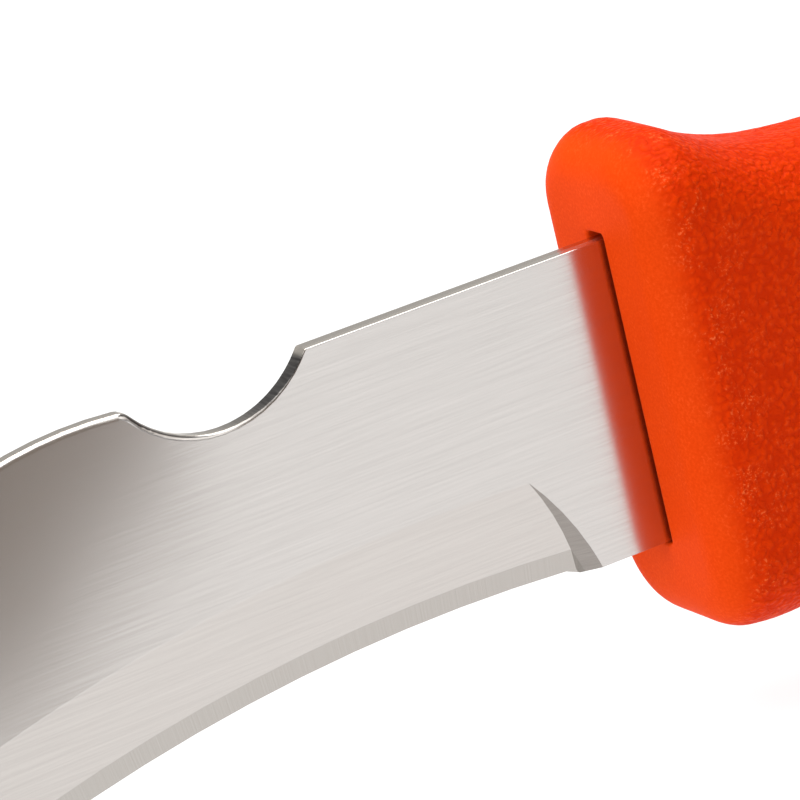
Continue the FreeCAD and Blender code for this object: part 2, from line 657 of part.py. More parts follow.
def make_all():
    """Every sub-part by the name of its file."""
    parts = {"blade": make_blade(), "handle": make_handle()}
    for rivet in ("front_rivet", "rear_rivet"):
        parts[rivet + "_barrel"] = make_rivet_barrel(rivet)
        parts[rivet + "_post"] = make_rivet_post(rivet)
    parts["butt_bush"] = make_ring("butt_bush", "dims.pin_radius", "dims.bush_radius",
                                   "-dims.butt_half", "dims.butt_half")
    washer_outer = "dims.butt_half + dims.washer_thickness"
    parts["bail_washer_near"] = make_ring("bail_washer_near", "dims.pin_radius", "dims.washer_radius",
                                          "-(%s)" % washer_outer, "-dims.butt_half")
    parts["bail_washer_far"] = make_ring("bail_washer_far", "dims.pin_radius", "dims.washer_radius",
                                         "dims.butt_half", washer_outer)
    parts["bail_pin"] = make_bail_pin()
    parts["bail_pin_rove"] = make_rove()
    parts["bail"] = make_bail()
    return parts


def place_in_frame(parts):
    """Moves every sub-part so that the origin is at the bottom centre of the whole knife's box."""
    box = FreeCAD.BoundBox()
    for part in parts.values():
        box.add(part.Shape.optimalBoundingBox(False))
    sheet.set(sheet.getCellFromAlias("frame_x"), str(round(-box.Center.x, 4)))
    sheet.set(sheet.getCellFromAlias("frame_z"), str(round(-box.ZMin, 4)))
    for name, part in parts.items():
        part.Label = name
        part.setExpression("Placement.Base.x", "dims.frame_x")
        part.setExpression("Placement.Base.z", "dims.frame_z")
    doc.recompute()


def check(parts):
    """Stops if any object failed or any sub-part isn't one valid solid."""
    for item in doc.Objects:
        if "Invalid" in item.State or "Error" in item.State:
            raise RuntimeError("%s did not build: %s" % (item.Label, item.State))
    for name, part in parts.items():
        shape = part.Shape
        if shape.isNull() or not shape.isValid() or len(shape.Solids) != 1:
            raise RuntimeError("%s is not one valid solid" % name)


sub_parts = make_all()
doc.recompute()
check(sub_parts)
place_in_frame(sub_parts)
check(sub_parts)

os.makedirs("parts", exist_ok=True)
for name, part in sub_parts.items():
    part.Shape.exportStep("parts/%s.step" % name)
    box = part.Shape.optimalBoundingBox(False)
    print("%-20s %9.1f mm3  x %8.2f %8.2f  y %7.2f %7.2f  z %7.2f %7.2f" % (
        name, part.Shape.Volume, box.XMin, box.XMax, box.YMin, box.YMax, box.ZMin, box.ZMax))
print("frame shift", size("frame_x"), size("frame_z"))
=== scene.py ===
import json
import math

import bmesh
import bpy
import numpy as np
from mathutils import Matrix, Vector, noise
from mathutils.bvhtree import BVHTree


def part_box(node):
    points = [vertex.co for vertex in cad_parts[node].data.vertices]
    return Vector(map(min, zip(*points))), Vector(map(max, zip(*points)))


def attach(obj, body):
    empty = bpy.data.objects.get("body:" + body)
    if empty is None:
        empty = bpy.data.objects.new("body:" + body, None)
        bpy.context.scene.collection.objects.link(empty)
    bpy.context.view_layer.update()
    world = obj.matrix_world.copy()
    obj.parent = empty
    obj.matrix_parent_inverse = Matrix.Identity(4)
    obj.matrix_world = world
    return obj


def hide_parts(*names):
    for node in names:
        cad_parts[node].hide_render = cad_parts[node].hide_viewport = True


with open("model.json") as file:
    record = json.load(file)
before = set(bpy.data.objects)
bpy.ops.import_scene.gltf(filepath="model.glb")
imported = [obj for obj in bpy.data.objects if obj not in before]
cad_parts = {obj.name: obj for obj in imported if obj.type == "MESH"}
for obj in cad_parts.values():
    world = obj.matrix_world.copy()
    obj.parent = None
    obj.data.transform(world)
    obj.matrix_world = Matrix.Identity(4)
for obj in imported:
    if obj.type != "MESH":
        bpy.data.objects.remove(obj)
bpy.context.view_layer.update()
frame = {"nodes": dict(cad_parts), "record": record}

# Rigging knife: finishes, the grained skin of the moulded handle, floor, lights and camera. All lengths
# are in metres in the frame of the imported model, in which X runs from the tip (-X) to the butt (+X), the
# near side faces -Y and Z is up. MM turns millimetres into metres. Texture scales are in cells per metre.

MM = 0.001
KNIFE = "knife"                        # the body that every piece but the bail is on

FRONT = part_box("handle")[0].x          # the handle's front face, square to the knife
CREST_RISE = 0.4 * MM                  # the highest point of the back over the straight spine
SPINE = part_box("blade")[1].z - CREST_RISE
STOCK_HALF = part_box("blade")[1].y      # half the thickness of the blade's strip
WHITE = (1.0, 1.0, 1.0, 1.0)

# ---------------------------------------------------------------------------------------------------
# Camera
# ---------------------------------------------------------------------------------------------------

CAMERA_AZIMUTH = -23.46                # degrees from straight on to the near side, towards the tip
CAMERA_ELEVATION = 16.4
CAMERA_ROLL = -13.56
CAMERA_DISTANCE = 448.4 * MM
CAMERA_LENS = 255.07
CAMERA_SENSOR = 36.0
AIM = Vector((FRONT - 19.85 * MM, 0.0, SPINE - 6.93 * MM))      # the middle of the picture


def make_camera():
    """A long lens looking at the blade where it leaves the handle, tipped so that the knife runs uphill."""
    data = bpy.data.cameras.new("camera")
    data.lens = CAMERA_LENS
    data.sensor_width = CAMERA_SENSOR
    data.clip_start = 0.01
    data.clip_end = 50.0
    turned = (Matrix.Rotation(math.radians(CAMERA_AZIMUTH), 4, "Z")
              @ Matrix.Rotation(math.radians(90.0 - CAMERA_ELEVATION), 4, "X")
              @ Matrix.Rotation(math.radians(CAMERA_ROLL), 4, "Z"))
    back = turned.col[2].xyz
    camera = bpy.data.objects.new("camera", data)
    camera.matrix_world = Matrix.Translation(AIM + back * CAMERA_DISTANCE) @ turned
    bpy.context.scene.collection.objects.link(camera)
    bpy.context.scene.camera = camera


# ---------------------------------------------------------------------------------------------------
# Node trees
# ---------------------------------------------------------------------------------------------------

def node(tree, kind, inputs=None, **settings):
    """A new shader node. An input that is given a socket is linked to it; any other value is set on it."""
    made = tree.nodes.new("ShaderNode" + kind)
    for name, value in settings.items():
        setattr(made, name, value)
    for name, value in (inputs or {}).items():
        if isinstance(value, bpy.types.NodeSocket):
            tree.links.new(value, made.inputs[name])
        else:
            made.inputs[name].default_value = value
    return made


def calc(tree, operation, *values):
    """The result of one Math node on one or two values."""
    return node(tree, "Math", dict(enumerate(values)), operation=operation).outputs[0]


def both(tree, first, second):
    """Where two masks overlap."""
    return calc(tree, "MULTIPLY", first, second)


def ramp(tree, value, low, high, to_low=0.0, to_high=1.0):
    """A smooth step of a value between two limits."""
    made = node(tree, "MapRange", {"Value": value, "From Min": low, "From Max": high,
                                   "To Min": to_low, "To Max": to_high}, interpolation_type="SMOOTHSTEP")
    return made.outputs["Result"]


def mix_colour(tree, factor, first, second, blend="MIX"):
    """One colour laid over another as far as factor says."""
    made = node(tree, "Mix", {0: factor, 6: first, 7: second}, data_type="RGBA", blend_type=blend)
    return made.outputs[2]


def mix_value(tree, factor, first, second):
    """A value between two others, as far along as factor says."""
    return node(tree, "Mix", {0: factor, 2: first, 3: second}, data_type="FLOAT").outputs[0]


def axes_of(tree, vector):
    """The X, Y and Z of a vector."""
    made = node(tree, "SeparateXYZ", {"Vector": vector})
    return made.outputs["X"], made.outputs["Y"], made.outputs["Z"]


def even_noise(tree, place, scale, detail=3.0, roughness=0.5):
    """Noise with one scale in every direction."""
    made = node(tree, "TexNoise", {"Vector": place, "Scale": scale, "Detail": detail, "Roughness": roughness})
    return made.outputs["Fac"]


def stretched_noise(tree, coordinates, scale, detail=3.0, roughness=0.55):
    """Noise with its own scale along each axis."""
    mapping = node(tree, "Mapping", {"Vector": coordinates, "Scale": scale})
    made = node(tree, "TexNoise", {"Vector": mapping.outputs["Vector"], "Scale": 1.0,
                                   "Detail": detail, "Roughness": roughness})
    return made.outputs["Fac"]


def bump(tree, height, distance, strength=1.0, under=None):
    """A normal bent by a height from 0 to 1 that stands for a distance, over another bump if given."""
    inputs = {"Height": height, "Distance": distance, "Strength": strength}
    if under is not None:
        inputs["Normal"] = under
    return node(tree, "Bump", inputs).outputs["Normal"]


def new_material(name, **constants):
    """A material and its tree. Constants are set on the Principled shader's own sockets."""
    material = bpy.data.materials.new(name)
    material.use_nodes = True
    shader = material.node_tree.nodes["Principled BSDF"]
    for socket, value in constants.items():
        shader.inputs[socket.replace("_", " ")].default_value = value
    return material, material.node_tree, shader


def object_place(tree):
    """The point being shaded, in the piece's own coordinates, which are those of the frame."""
    return node(tree, "TexCoord").outputs["Object"]


def feed(tree, shader, **sockets):
    """Links node outputs to the shader's sockets of those names."""
    for socket, source in sockets.items():
        tree.links.new(source, shader.inputs[socket.replace("_", " ")])


# ---------------------------------------------------------------------------------------------------
# Finishes
# ---------------------------------------------------------------------------------------------------

STEEL_LIGHT = (0.640, 0.610, 0.588, 1.0)
STEEL_DARK = (0.580, 0.552, 0.530, 1.0)
BEVEL_TINT = (0.81, 0.81, 0.795, 1.0)
PLUNGE_TINT = (0.66, 0.64, 0.62, 1.0)
GRIND_TINT = (0.965, 0.955, 0.945, 1.0)
SPINE_TINT = (1.10, 1.06, 0.97, 1.0)
# Painted shade: near-black steel colours for the notch's wall where it faces the tip.
NOTCH_SHADE_LIGHT = (0.17, 0.16, 0.15, 1.0)
NOTCH_SHADE_DARK = (0.045, 0.040, 0.038, 1.0)
EDGE_APEX_REACH = 20.7 * MM            # from the handle's front face to the top of the hollow edge
EDGE_APEX_DEPTH = 25.05 * MM           # from the spine to the top of the hollow edge
EDGE_RADIUS = 148.0 * MM
NOTCH_END = 42.9 * MM                  # from the handle's front face to the far end of the notch
BEVEL_HALF = 0.272 * MM                # half the steel left where the sharpened bevel starts

BRUSH_HAIR = (140.0, 900.0, 11000.0)   # scales of the fine lines along the strip
BRUSH_BAND = (45.0, 300.0, 2600.0)     # and of the broader ones
BRUSH_HAIR_SHARE = 0.75
STEEL_CLOUD = (30.0, 30.0, 55.0)
BEVEL_MARKS = (7000.0, 1.0, 1.0)       # lines across the sharpened bevel, counted along its edge
RIM_MARKS = (6000.0, 250.0, 6000.0)    # lines across the back and the notch
BRUSH_BUMP = 0.0006 * MM

# How far the surface faces sideways where a zone starts and where it is complete.
FLAT_SIDE = (0.45, 0.55)
RIM_FACE = (0.55, 0.25)
NOTCH_WALL = (0.94, 0.82)

# The same for how far it faces along the knife.
LEANING = (0.15, 0.25)
SHADED_TO_TIP = (0.30, -0.45)            # the notch's wall gets painted shade where it faces the tip


def blade_zones(tree, place):
    """Masks from 0 to 1 for the parts of the blade that have a finish of their own, and for the notch's wall
    where it faces the tip, which gets painted shade.
    """
    along, through, up = axes_of(tree, place)
    to_butt, sideways, _ = axes_of(tree, node(tree, "NewGeometry").outputs["Normal"])
    through = calc(tree, "ABSOLUTE", through)
    sideways = calc(tree, "ABSOLUTE", sideways)
    on_side = ramp(tree, sideways, *FLAT_SIDE)
    hollowed = ramp(tree, through, STOCK_HALF * 0.999, STOCK_HALF * 0.98)
    thin = ramp(tree, through, BEVEL_HALF * 1.02, BEVEL_HALF * 0.98)
    leaning = ramp(tree, calc(tree, "ABSOLUTE", to_butt), *LEANING)
    below = ramp(tree, up, SPINE - 0.2 * MM, SPINE - 0.7 * MM)
    beside = ramp(tree, along, FRONT - NOTCH_END - 0.1 * MM, FRONT - NOTCH_END + 0.8 * MM)
    wall = both(tree, both(tree, below, beside), ramp(tree, sideways, *NOTCH_WALL))
    # The notch mask marks where painted shade goes: the notch's wall, where it faces the tip.
    return {"ground": both(tree, hollowed, on_side), "bevel": both(tree, thin, on_side),
            "plunge": both(tree, leaning, on_side), "rim": ramp(tree, sideways, *RIM_FACE),
            "notch": both(tree, wall, ramp(tree, to_butt, *SHADED_TO_TIP))}


def blade_lines(tree, place, zones):
    """Brushed lines along the strip, and ground lines across the bevel, the back and the notch."""
    along, _, up = axes_of(tree, place)
    hair = stretched_noise(tree, place, BRUSH_HAIR, detail=4.0, roughness=0.6)
    band = stretched_noise(tree, place, BRUSH_BAND)
    streaks = mix_value(tree, BRUSH_HAIR_SHARE, band, hair)

    across = calc(tree, "SUBTRACT", along, FRONT - EDGE_APEX_REACH)
    over = calc(tree, "SUBTRACT", up, SPINE - EDGE_APEX_DEPTH - EDGE_RADIUS)
    travelled = calc(tree, "MULTIPLY", calc(tree, "ARCTAN2", across, over), EDGE_RADIUS)
    along_edge = node(tree, "CombineXYZ", {"X": travelled}).outputs["Vector"]
    lines = mix_value(tree, zones["bevel"], streaks, stretched_noise(tree, along_edge, BEVEL_MARKS))
    return mix_value(tree, zones["rim"], lines, stretched_noise(tree, place, RIM_MARKS))


def blade_steel():
    """Satin strip brushed along its length, ground across the sharpened bevel and the back's rim, with
    painted shade on the notch's wall where it faces the tip.
    """
    material, tree, shader = new_material("blade_steel", Metallic=1.0, Anisotropic=0.72,
                                          Anisotropic_Rotation=0.25)
    place = object_place(tree)
    zones = blade_zones(tree, place)
    lines = blade_lines(tree, place, zones)
    cloud = stretched_noise(tree, place, STEEL_CLOUD, detail=2.0)

    colour = mix_colour(tree, ramp(tree, lines, 0.25, 0.75), STEEL_DARK, STEEL_LIGHT)
    colour = mix_colour(tree, ramp(tree, cloud, 0.35, 0.8, 0.0, 0.10), colour, STEEL_DARK)
    for zone, tint in (("ground", GRIND_TINT), ("bevel", BEVEL_TINT), ("plunge", PLUNGE_TINT),
                       ("rim", SPINE_TINT)):
        colour = mix_colour(tree, zones[zone], colour, tint, "MULTIPLY")
    # Painted shade: the notch's wall takes near-black steel where it faces the tip.
    notch_shade = mix_colour(tree, ramp(tree, lines, 0.3, 0.7), NOTCH_SHADE_DARK, NOTCH_SHADE_LIGHT)
    colour = mix_colour(tree, zones["notch"], colour, notch_shade)
    finish = mix_value(tree, ramp(tree, lines, 0.3, 0.7), 0.235, 0.195)
    feed(tree, shader, Base_Color=colour, Roughness=finish, Normal=bump(tree, lines, BRUSH_BUMP, 0.5))
    return material


ORANGE = (0.77, 0.041, 0.0006, 1.0)
ORANGE_DEEP = (0.64, 0.027, 0.0002, 1.0)
# Painted highlight: a light orange for spots that stand for glints of light on the grain.
GLINT_ORANGE = (1.0, 0.190, 0.052, 1.0)
# Painted light: the smooth front face takes a lighter, paler copy of the orange, standing for the light and
# sheen on it; the rest of the difference is its smooth, ungrained finish.
LIT_ORANGE_FRONT = (0.81, 0.064, 0.0040, 1.0)
LIT_ORANGE_FRONT_DEEP = (0.74, 0.050, 0.0015, 1.0)
PEBBLE = 0.56 * MM                     # one pebble of the fine leather grain
PEBBLE_SHARE = 0.68                    # of the grain, and the rest is its creases
PEBBLE_BUMP = 0.095 * MM
FINE_SCALE = 4200.0                    # of the moulding's finest roughness
FINE_BUMP = 0.010 * MM
PATCH_SCALE = 420.0                    # of the patches that hold the painted highlights
SOFT_SCALE = 160.0                     # of the slow change of tone
GRAIN_START = 0.8 * MM                 # the grain fades in over this stretch behind the front face
GRAIN_FULL = 3.4 * MM
RIM_END = 9.0 * MM                     # the ring of strongest painted highlights behind the front's corner ends here
GLINT_SIDE = 0.10                     # strength of the painted highlights, light spots on the grain, on the sides
GLINT_CORNER = 0.70                   # and in that ring


def leather_grain(tree, place):
    """Wandering pebbles with creases between them, from 0 in the creases to 1 on the pebbles."""
    swirl = node(tree, "TexNoise", {"Vector": place, "Scale": 0.8 / PEBBLE, "Detail": 1.0}).outputs["Color"]
    swirl = node(tree, "VectorMath", {0: swirl, 1: (PEBBLE * 0.7,) * 3}, operation="MULTIPLY").outputs[0]
    bent = node(tree, "VectorMath", {0: place, 1: swirl}, operation="ADD").outputs[0]
    cells = node(tree, "TexVoronoi", {"Vector": bent, "Scale": 1.0 / PEBBLE, "Smoothness": 0.45},
                 feature="SMOOTH_F1").outputs["Distance"]
    creases = calc(tree, "SUBTRACT", even_noise(tree, bent, 0.62 / PEBBLE, detail=1.5), 0.5)
    between = ramp(tree, calc(tree, "ABSOLUTE", creases), 0.0, 0.13)
    return mix_value(tree, PEBBLE_SHARE, between, ramp(tree, cells, 0.75, 0.10))


def handle_plastic():
    """Orange moulding with a leather grain that fades out on the smooth front face. It carries painted shade
    in the grain's creases, a front face painted lighter and paler than the sides, and painted highlights as
    light spots, faint on the sides and strong on the corner behind that face."""
    material, tree, shader = new_material("handle_plastic", Specular_IOR_Level=0.02)
    place = object_place(tree)
    behind = calc(tree, "SUBTRACT", axes_of(tree, place)[0], FRONT)
    grained = ramp(tree, behind, GRAIN_START, GRAIN_FULL)
    corner = both(tree, grained, ramp(tree, behind, RIM_END, GRAIN_FULL))
    grain = leather_grain(tree, place)
    fine = even_noise(tree, place, FINE_SCALE, roughness=0.6)
    patches = even_noise(tree, place, PATCH_SCALE)
    soft = even_noise(tree, place, SOFT_SCALE)

    # Painted shade: the grain's creases take the deeper orange, its pebbles the lighter one.
    crease_shaded_grain = mix_colour(tree, ramp(tree, grain, 0.05, 0.90), ORANGE_DEEP, ORANGE)
    plain = mix_colour(tree, ramp(tree, fine, 0.30, 0.72), LIT_ORANGE_FRONT_DEEP, LIT_ORANGE_FRONT)
    # Painted light: the smooth front face takes the lighter, paler orange and the grained sides the deeper
    # one.
    colour = mix_colour(tree, grained, plain, crease_shaded_grain)
    # Painted highlights: light orange spots on the pebbles, in patches, faint on the sides and strong on the
    # corner behind the front face.
    glint_specks = both(tree, ramp(tree, fine, 0.53, 0.63), ramp(tree, patches, 0.42, 0.60))
    glint_specks = both(tree, glint_specks, ramp(tree, grain, 0.2, 0.7, 0.3, 1.0))
    painted_glints = both(tree, glint_specks, mix_value(tree, corner, GLINT_SIDE, GLINT_CORNER))
    colour = mix_colour(tree, painted_glints, colour, GLINT_ORANGE)
    colour = mix_colour(tree, ramp(tree, soft, 0.3, 0.8, 0.0, 0.12), colour, ORANGE_DEEP)
    finish = mix_value(tree, grained, 0.55, mix_value(tree, grain, 0.52, 0.36))
    normal = bump(tree, both(tree, grain, grained), PEBBLE_BUMP, under=bump(tree, fine, FINE_BUMP, 0.6))
    feed(tree, shader, Base_Color=colour, Roughness=finish, Normal=normal)
    return material


RIVET_DARK = (0.46, 0.45, 0.43, 1.0)
RIVET_LIGHT = (0.66, 0.65, 0.63, 1.0)
RIVET_ROUGHNESS = 0.3
BRASS_DARK = (0.58, 0.40, 0.15, 1.0)
BRASS_LIGHT = (0.78, 0.57, 0.27, 1.0)
BRASS_ROUGHNESS = 0.28
ROD_DARK = (0.57, 0.56, 0.54, 1.0)
ROD_LIGHT = (0.64, 0.63, 0.61, 1.0)
ACETAL_DARK = (0.018, 0.018, 0.019, 1.0)
ACETAL_LIGHT = (0.04, 0.04, 0.042, 1.0)
TURNING_BUMP = 0.002 * MM
PIT_BUMP = 0.004 * MM


def turned_metal(name, dark, light, roughness, centre):
    """Metal turned about an axis along Y through a centre, with fine rings and a few rubs."""
    material, tree, shader = new_material(name, Metallic=1.0)
    place = object_place(tree)
    away = node(tree, "VectorMath", {0: place, 1: centre}, operation="SUBTRACT").outputs[0]
    flat = node(tree, "VectorMath", {0: away, 1: (1.0, 0.0, 1.0)}, operation="MULTIPLY").outputs[0]
    radius = node(tree, "VectorMath", {0: flat}, operation="LENGTH").outputs["Value"]
    rings = node(tree, "TexNoise", {"W": radius, "Scale": 9000.0, "Detail": 3.0},
                 noise_dimensions="1D").outputs["Fac"]
    rubs = even_noise(tree, place, 700.0, detail=4.0)
    mixed = mix_value(tree, 0.6, rubs, rings)
    colour = mix_colour(tree, ramp(tree, mixed, 0.3, 0.7), dark, light)
    finish = mix_value(tree, rubs, roughness * 1.25, roughness * 0.8)
    feed(tree, shader, Base_Color=colour, Roughness=finish, Normal=bump(tree, rings, TURNING_BUMP, 0.5))
    return material


def tumbled_steel():
    """Bent rod with a tumbled, lightly rubbed surface."""
    material, tree, shader = new_material("fitting_steel", Metallic=1.0)
    place = object_place(tree)
    rubs = even_noise(tree, place, 900.0, detail=4.0)
    pits = even_noise(tree, place, 4200.0, detail=2.0)
    colour = mix_colour(tree, ramp(tree, rubs, 0.35, 0.7), ROD_DARK, ROD_LIGHT)
    finish = mix_value(tree, rubs, 0.34, 0.2)
    feed(tree, shader, Base_Color=colour, Roughness=finish, Normal=bump(tree, pits, PIT_BUMP, 0.5))
    return material


def washer_plastic():
    """Black acetal with a fine even grain."""
    material, tree, shader = new_material("washer_plastic", Specular_IOR_Level=0.4)
    grain = even_noise(tree, object_place(tree), 3500.0)
    colour = mix_colour(tree, grain, ACETAL_DARK, ACETAL_LIGHT)
    finish = mix_value(tree, grain, 0.5, 0.36)
    feed(tree, shader, Base_Color=colour, Roughness=finish, Normal=bump(tree, grain, PIT_BUMP, 0.5))
    return material


def centre_of(name):
    """The middle of a CAD node's box."""
    low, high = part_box(name)
    return (low + high) / 2


def dress_nodes():
    """Gives every CAD node the finish of its material slot, and returns the shared finishes. Turned pieces
    have rings about their own axis."""
    finishes = {"blade_steel": blade_steel(), "handle_plastic": handle_plastic(),
                "fitting_steel": tumbled_steel(), "washer_plastic": washer_plastic()}
    for part in frame["record"]["subparts"]:
        piece = part["node"]
        slot = part["material_slot"]
        if slot == "rivet_steel":
            finish = turned_metal(piece + "_steel", RIVET_DARK, RIVET_LIGHT, RIVET_ROUGHNESS,
                                  centre_of(piece))
        elif slot == "bush_brass":
            finish = turned_metal(slot, BRASS_DARK, BRASS_LIGHT, BRASS_ROUGHNESS, centre_of(piece))
        else:
            finish = finishes[slot]
        mesh = frame["nodes"][piece].data
        mesh.materials.clear()
        mesh.materials.append(finish)
    return finishes


# ---------------------------------------------------------------------------------------------------
# Handle skin
# ---------------------------------------------------------------------------------------------------

GRID = 0.32 * MM                       # spacing of the skin's mesh
GIRTH = 108.0 * MM                     # round the handle, near enough to space its mesh by
FRONT_STRETCH = 15.0 * MM              # over the front face, from the slot to the cap's end
BUTT_STRETCH = 20.0 * MM               # over the butt, from the pin to its middle
BUTT_CLOSED = 0.97                     # how near to that middle the last ring is
RAYS = 720                             # surface samples round a section, or along a line over an end
FAR = 80.0 * MM                        # clear of the handle, and twice this is clear of its butt
CAP_LENGTH = 4.6 * MM                  # the front cap runs past the end of the rounded front edge
SLOT_HALF = STOCK_HALF + 0.4 * MM
SLOT_TOP = SPINE + 0.5 * MM
SLOT_BASE = SPINE - 26.2 * MM
SLOT_CORNER = 0.35 * MM
SLOT_LIP = 0.3 * MM                    # rounding of the slot's rim
LIP_STEPS = 4
SLOT_DEPTH = 22.0 * MM
RIVET_RISE = 0.3 * MM                  # dome of a rivet head over its rim
RIVET_HEAD = 1.6 * MM                  # depth of a rivet head below its rim
SEAT_GAP = 0.06 * MM                   # round each rivet head and washer
SEAT_BRIDGE = 2.5 * SEAT_GAP           # the skin is bridged this far round a seat, before the seat is cut
SEAT_SEGMENTS = 96
FOLD_PITCH = 0.95 * MM                 # of the low folds that are raised on the skin
FOLD_HEIGHT = 0.035 * MM
FOLD_SEED = 1                          # without one, noise_vector differs from run to run


def resample(points, count, closed=False):
    """Evenly spaced points along a line of points."""
    line = np.array(points + points[:1] if closed else points, float)
    steps = np.linalg.norm(np.diff(line, axis=0), axis=1)
    travelled = np.concatenate([[0.0], np.cumsum(steps)])
    wanted = np.linspace(0.0, travelled[-1], count + 1 if closed else count)
    even = np.stack([np.interp(wanted, travelled, line[:, axis]) for axis in range(3)], axis=1)
    return even[:-1] if closed else even


def fittings():
    """Centre, radius, distance of the inner face from the mid-plane, and side (-1 near, 1 far) of each round
    fitting that is let into the handle's sides."""
    found = []
    for name in ("front_rivet_post", "rear_rivet_post", "front_rivet_barrel", "rear_rivet_barrel"):
        low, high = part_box(name)
        near = name.endswith("post")
        rim = abs(low.y if near else high.y) - RIVET_RISE
        found.append(((low + high) / 2, (high.x - low.x) / 2, rim - RIVET_HEAD, -1 if near else 1))
    for name in ("bail_washer_near", "bail_washer_far"):
        low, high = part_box(name)
        side = -1 if name.endswith("near") else 1
        found.append(((low + high) / 2, (high.x - low.x) / 2, min(abs(low.y), abs(high.y)), side))
    return found


def outline_at(surface, x, count, holes):
    """Evenly spaced points round the outer surface at one place along the handle, from the top centre,
    with the round seats bridged."""
    down = surface.ray_cast(Vector((x, 0.0, FAR)), Vector((0.0, 0.0, -1.0)))[0]
    up = surface.ray_cast(Vector((x, 0.0, -FAR)), Vector((0.0, 0.0, 1.0)))[0]
    centre = (down + up) / 2
    kept = []
    for step in range(RAYS):
        angle = math.tau * step / RAYS
        out = Vector((0.0, math.sin(angle), math.cos(angle)))
        hit = surface.ray_cast(centre + out * FAR, -out)[0]
        if hit is not None and all(math.hypot(hit.x - at.x, hit.z - at.z) > radius + SEAT_BRIDGE
                                   for at, radius, *_ in holes):
            kept.append(list(hit))
    return resample(kept, count, closed=True)


def slot_point(place):
    """The point of the slot's core that is nearest to a place, and the way from there to the place. The
    slot's outline runs round its core, SLOT_CORNER away from it."""
    y = max(-SLOT_HALF + SLOT_CORNER, min(SLOT_HALF - SLOT_CORNER, place[1]))
    z = max(SLOT_BASE + SLOT_CORNER, min(SLOT_TOP - SLOT_CORNER, place[2]))
    out = Vector((0.0, place[1] - y, place[2] - z)).normalized()
    return Vector((FRONT, y, z)), out


def front_rings(surface, outline, rings):
    """Rings from the bottom of the slot, round its rim and over the front to an outline behind it."""
    columns = []
    for place in outline:
        core, out = slot_point(place)
        wall = core + out * SLOT_CORNER
        rim = core + out * (SLOT_CORNER + SLOT_LIP)
        column = [[FRONT + depth, wall.y, wall.z] for depth in
                  (SLOT_DEPTH, SLOT_DEPTH / 2, SLOT_DEPTH / 5, 4 * SLOT_LIP, 2 * SLOT_LIP)]
        for step in range(LIP_STEPS + 1):
            turn = math.pi / 2 * step / LIP_STEPS
            spot = wall + out * (SLOT_LIP * (1 - math.cos(turn)))
            column.append([FRONT + SLOT_LIP * (1 - math.sin(turn)), spot.y, spot.z])
        over = []
        for step in range(RAYS):
            share = step / RAYS
            y = rim.y + (place[1] - rim.y) * share
            z = rim.z + (place[2] - rim.z) * share
            hit = surface.ray_cast(Vector((-FAR, y, z)), Vector((1.0, 0.0, 0.0)))[0]
            if hit is not None and hit.x < place[0]:
                over.append(list(hit))
        over.append(list(place))
        columns.append(column + resample(over, rings).tolist()[1:])
    return np.array(columns).transpose(1, 0, 2)


def butt_rings(surface, outline, rings):
    """Rings from an outline at the pin over the rounded butt, almost to its middle."""
    columns = []
    middle = outline.mean(axis=0)
    for place in outline:
        over = [list(place)]
        for step in range(1, RAYS):
            share = 1.0 - BUTT_CLOSED * step / RAYS
            y = middle[1] + (place[1] - middle[1]) * share
            z = middle[2] + (place[2] - middle[2]) * share
            hit = surface.ray_cast(Vector((2 * FAR, y, z)), Vector((-1.0, 0.0, 0.0)))[0]
            if hit is not None and hit.x > place[0]:
                over.append(list(hit))
        columns.append(resample(over, rings).tolist()[1:])
    return np.array(columns).transpose(1, 0, 2)


def handle_rings():
    """The whole skin as rings of equally many points, from the bottom of the slot to the butt."""
    mesh = frame["nodes"]["handle"].data
    mesh.calc_loop_triangles()
    surface = BVHTree.FromPolygons([vertex.co for vertex in mesh.vertices],
                                   [tuple(triangle.vertices) for triangle in mesh.loop_triangles])
    holes = fittings()
    pin = centre_of("bail_pin").x
    first = FRONT + CAP_LENGTH
    count = int(GIRTH / GRID)
    places = np.linspace(first, pin, int((pin - first) / GRID))
    sides = [outline_at(surface, x, count, holes) for x in places]
    front = front_rings(surface, sides[0], int(FRONT_STRETCH / GRID))
    butt = butt_rings(surface, sides[-1], int(BUTT_STRETCH / GRID))
    return np.concatenate([front[:-1], np.array(sides), butt])


def skin_mesh(rings):
    """A closed mesh of quads over the rings, with one face at the slot's floor and a fan at the butt. Its
    faces point inwards, and cutting the seats turns them outwards."""
    length, count = rings.shape[:2]
    points = rings.reshape(-1, 3)
    faces = []
    for ring in range(length - 1):
        for column in range(count):
            following = (column + 1) % count
            faces.append((ring * count + column, ring * count + following,
                          (ring + 1) * count + following, (ring + 1) * count + column))
    faces.append(tuple(range(count - 1, -1, -1)))
    last = (length - 1) * count
    points = np.concatenate([points, points[last:].mean(axis=0)[None]])
    for column in range(count):
        faces.append((last + column, last + (column + 1) % count, len(points) - 1))
    mesh = bpy.data.meshes.new("handle_skin")
    mesh.from_pydata(points.tolist(), [], faces)
    mesh.update()
    return mesh


def fold_height(place):
    """Height of the moulded folds at a place, from 0 between them to 1 on their crests."""
    drift = noise.noise_vector(place / (2.4 * FOLD_PITCH)) * (0.9 * FOLD_PITCH)
    wander = noise.noise((place + drift) / FOLD_PITCH)
    cell = noise.voronoi((place + drift * 0.4) / FOLD_PITCH)[0]
    return 1.0 - min(1.0, 0.5 * min(1.0, abs(wander) * 2.2) + 0.7 * min(1.0, cell[1] - cell[0]))


def in_slot(place):
    """Whether a place is in the slot or on its rim."""
    return (abs(place.y) < SLOT_HALF + SLOT_LIP and place.x < FRONT + SLOT_DEPTH
            and SLOT_BASE - SLOT_LIP < place.z < SLOT_TOP + SLOT_LIP)


